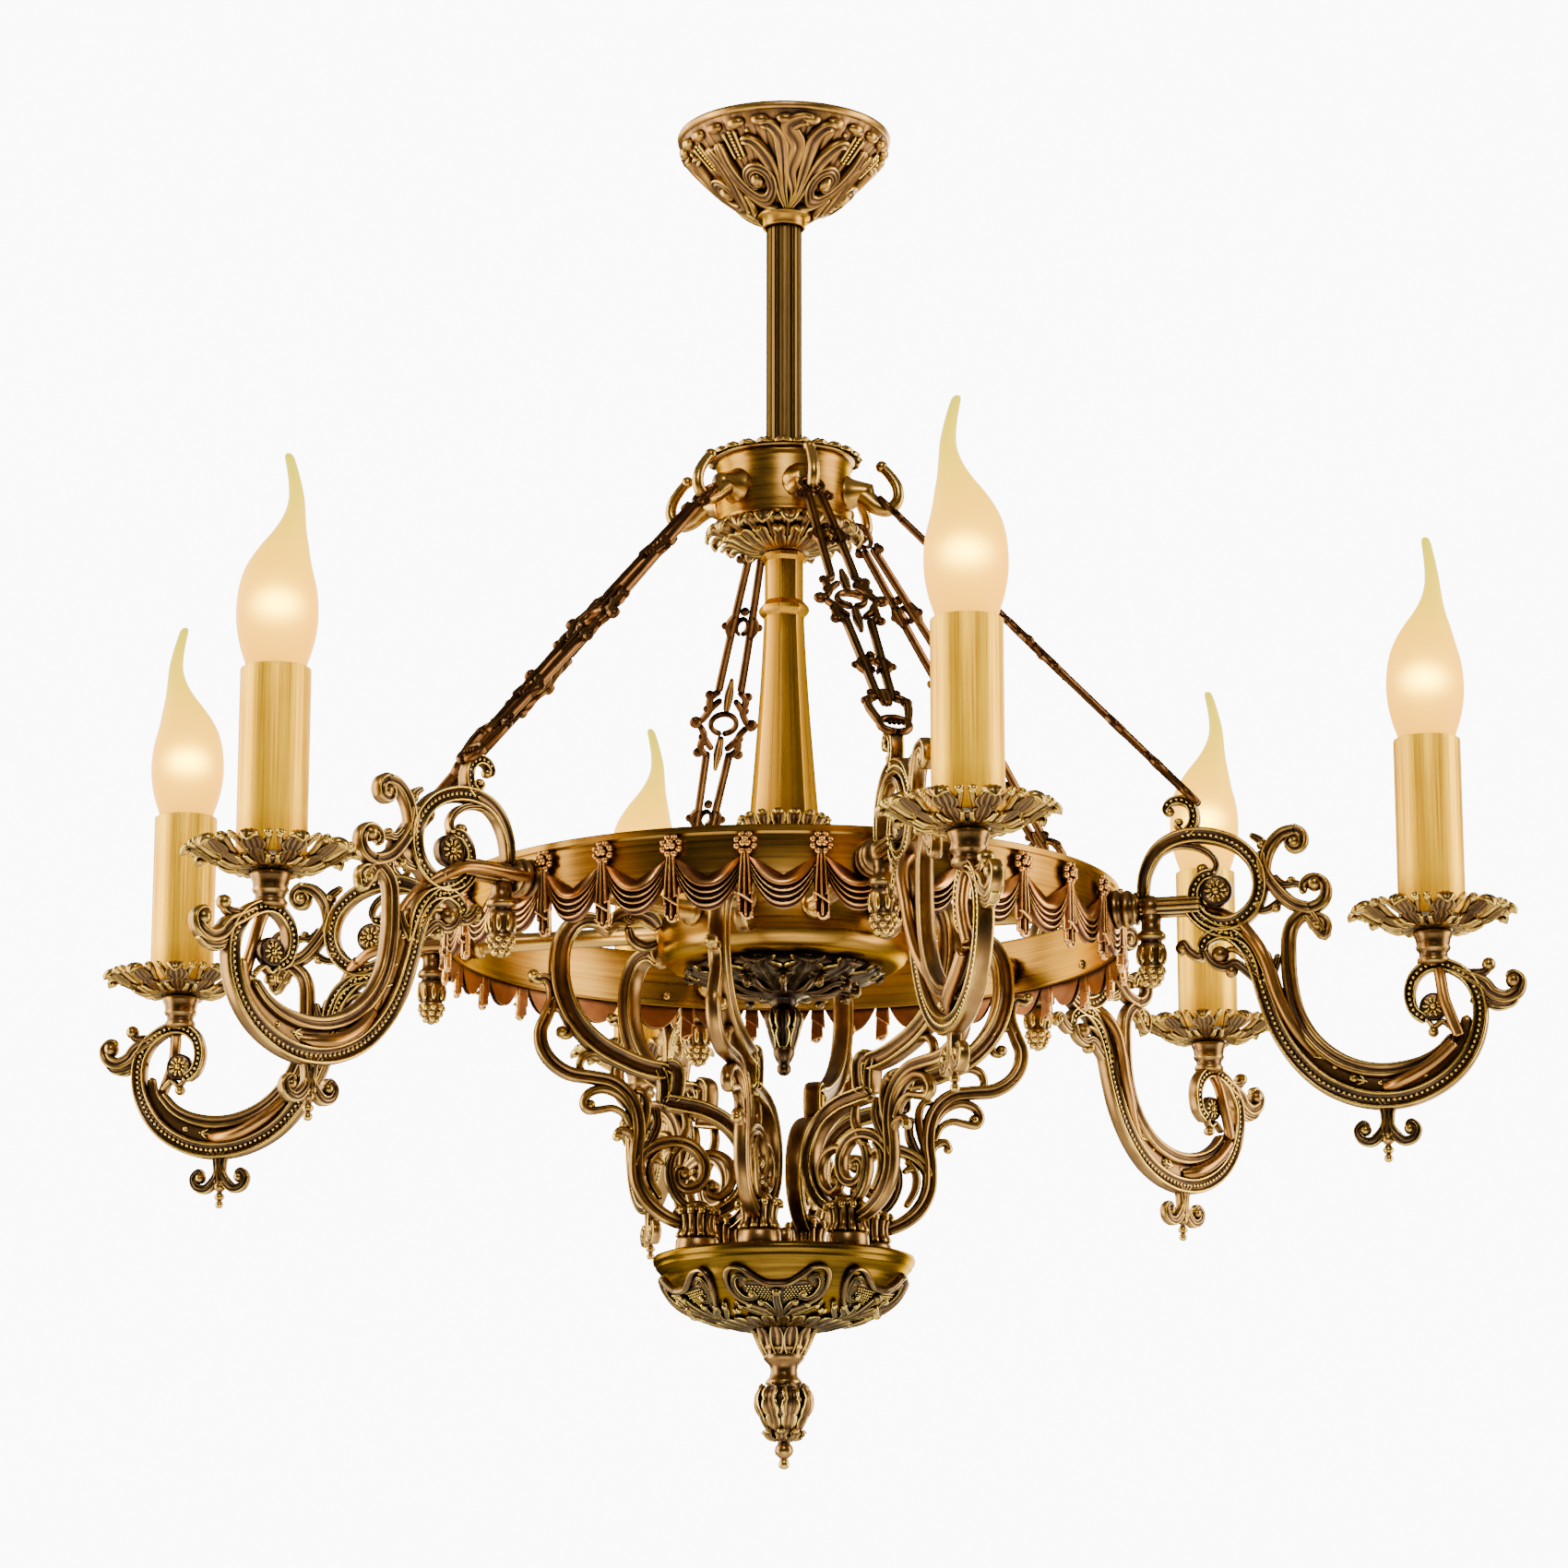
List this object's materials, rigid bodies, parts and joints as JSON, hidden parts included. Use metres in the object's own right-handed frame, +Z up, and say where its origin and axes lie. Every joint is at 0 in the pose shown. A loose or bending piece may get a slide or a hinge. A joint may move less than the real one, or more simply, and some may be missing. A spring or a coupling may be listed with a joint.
{
  "type": "multi arm chandelier",
  "caption": "Brass chandelier with scrolled candle arms on a ring, hung by a stem and cast chains, with a scroll basket and bowl below.",
  "frame": {"origin": "centre of the ceiling strap's top face, on the ceiling plane and the stem axis", "axes": "+Z up to the ceiling, along the stem; -Y towards the arm that faces the viewer"},
  "size_m": [0.591, 0.6758, 0.6375],
  "materials": {
    "antique_brass": "antique cast brass: polished edges over a dark brown patina",
    "brushed_brass": "brushed, lacquered, browned",
    "dark_bronze": "dark bronze patina with rubbed edges",
    "rosy_copper": "copper-toned cast with rubbed highlights",
    "gold_sleeve": "bright brushed gold",
    "conduit_copper": "satin copper-brown",
    "frosted_glass": "frosted amber glass",
    "zinc_steel": "zinc plated",
    "lampholder_plastic": "matte"
  },
  "bodies": {
    "frame": {"ceiling_bracket": "zinc_steel", "stem_tube": "brushed_brass", "hub_drum": "brushed_brass", "column": "brushed_brass", "ring_band": "brushed_brass", "swag_trim": "rosy_copper", "centre_drum": "brushed_brass", "drum_pendant": "antique_brass", "bowl": "antique_brass", "finial": "antique_brass", "arm_frame_1": "antique_brass", "conduit_1": "conduit_copper", "candle_pan_1": "antique_brass", "lampholder_1": "lampholder_plastic", "bracket_1": "antique_brass", "arm_frame_2": "antique_brass", "conduit_2": "conduit_copper", "candle_pan_2": "antique_brass", "lampholder_2": "lampholder_plastic", "bracket_2": "antique_brass", "arm_frame_3": "antique_brass", "conduit_3": "conduit_copper", "candle_pan_3": "antique_brass", "lampholder_3": "lampholder_plastic", "bracket_3": "antique_brass", "arm_frame_4": "antique_brass", "conduit_4": "conduit_copper", "candle_pan_4": "antique_brass", "lampholder_4": "lampholder_plastic", "bracket_4": "antique_brass", "arm_frame_5": "antique_brass", "conduit_5": "conduit_copper", "candle_pan_5": "antique_brass", "lampholder_5": "lampholder_plastic", "bracket_5": "antique_brass", "arm_frame_6": "antique_brass", "conduit_6": "conduit_copper", "candle_pan_6": "antique_brass", "lampholder_6": "lampholder_plastic", "bracket_6": "antique_brass"},
    "canopy": {"canopy": "antique_brass", "canopy_collar": "brushed_brass"},
    "sleeve_1": {"sleeve_1": "gold_sleeve"},
    "bulb_1": {"bulb_1": "frosted_glass"},
    "chain_1": {"chain_1": "dark_bronze"},
    "sleeve_2": {"sleeve_2": "gold_sleeve"},
    "bulb_2": {"bulb_2": "frosted_glass"},
    "chain_2": {"chain_2": "dark_bronze"},
    "sleeve_3": {"sleeve_3": "gold_sleeve"},
    "bulb_3": {"bulb_3": "frosted_glass"},
    "chain_3": {"chain_3": "dark_bronze"},
    "sleeve_4": {"sleeve_4": "gold_sleeve"},
    "bulb_4": {"bulb_4": "frosted_glass"},
    "chain_4": {"chain_4": "dark_bronze"},
    "sleeve_5": {"sleeve_5": "gold_sleeve"},
    "bulb_5": {"bulb_5": "frosted_glass"},
    "chain_5": {"chain_5": "dark_bronze"},
    "sleeve_6": {"sleeve_6": "gold_sleeve"},
    "bulb_6": {"bulb_6": "frosted_glass"},
    "chain_6": {"chain_6": "dark_bronze"}
  },
  "joints": [
    {"name": "canopy_slide", "type": "slide", "parent": "frame", "child": "canopy", "axis": [0, 0, -1], "range_m": [0, 0.11]},
    {"name": "bulb_1_out", "type": "slide", "parent": "frame", "child": "bulb_1", "axis": [0, 0, 1], "range_m": [0, 0.035]},
    {"name": "sleeve_1_turn", "type": "hinge", "parent": "frame", "child": "sleeve_1", "pos_m": [0, -0.3006, -0.36], "axis": [0, 0, 1], "continuous": true},
    {"name": "chain_1_swing", "type": "hinge", "parent": "frame", "child": "chain_1", "pos_m": [0, -0.0515, -0.1893], "axis": [1, 0, 0], "range_deg": [-1, 0]},
    {"name": "bulb_2_out", "type": "slide", "parent": "frame", "child": "bulb_2", "axis": [0, 0, 1], "range_m": [0, 0.035]},
    {"name": "sleeve_2_turn", "type": "hinge", "parent": "frame", "child": "sleeve_2", "pos_m": [0.26033, -0.1503, -0.36], "axis": [0, 0, 1], "continuous": true},
    {"name": "chain_2_swing", "type": "hinge", "parent": "frame", "child": "chain_2", "pos_m": [0.0446, -0.02575, -0.1893], "axis": [0.5, 0.866, 0], "range_deg": [-1, 0]},
    {"name": "bulb_3_out", "type": "slide", "parent": "frame", "child": "bulb_3", "axis": [0, 0, 1], "range_m": [0, 0.035]},
    {"name": "sleeve_3_turn", "type": "hinge", "parent": "frame", "child": "sleeve_3", "pos_m": [0.26033, 0.1503, -0.36], "axis": [0, 0, 1], "continuous": true},
    {"name": "chain_3_swing", "type": "hinge", "parent": "frame", "child": "chain_3", "pos_m": [0.0446, 0.02575, -0.1893], "axis": [-0.5, 0.866, 0], "range_deg": [-1, 0]},
    {"name": "bulb_4_out", "type": "slide", "parent": "frame", "child": "bulb_4", "axis": [0, 0, 1], "range_m": [0, 0.035]},
    {"name": "sleeve_4_turn", "type": "hinge", "parent": "frame", "child": "sleeve_4", "pos_m": [0, 0.3006, -0.36], "axis": [0, 0, 1], "continuous": true},
    {"name": "chain_4_swing", "type": "hinge", "parent": "frame", "child": "chain_4", "pos_m": [0, 0.0515, -0.1893], "axis": [-1, 0, 0], "range_deg": [-1, 0]},
    {"name": "bulb_5_out", "type": "slide", "parent": "frame", "child": "bulb_5", "axis": [0, 0, 1], "range_m": [0, 0.035]},
    {"name": "sleeve_5_turn", "type": "hinge", "parent": "frame", "child": "sleeve_5", "pos_m": [-0.26033, 0.1503, -0.36], "axis": [0, 0, 1], "continuous": true},
    {"name": "chain_5_swing", "type": "hinge", "parent": "frame", "child": "chain_5", "pos_m": [-0.0446, 0.02575, -0.1893], "axis": [-0.5, -0.866, 0], "range_deg": [-1, 0]},
    {"name": "bulb_6_out", "type": "slide", "parent": "frame", "child": "bulb_6", "axis": [0, 0, 1], "range_m": [0, 0.035]},
    {"name": "sleeve_6_turn", "type": "hinge", "parent": "frame", "child": "sleeve_6", "pos_m": [-0.26033, -0.1503, -0.36], "axis": [0, 0, 1], "continuous": true},
    {"name": "chain_6_swing", "type": "hinge", "parent": "frame", "child": "chain_6", "pos_m": [-0.0446, -0.02575, -0.1893], "axis": [0.5, -0.866, 0], "range_deg": [-1, 0]}
  ]
}
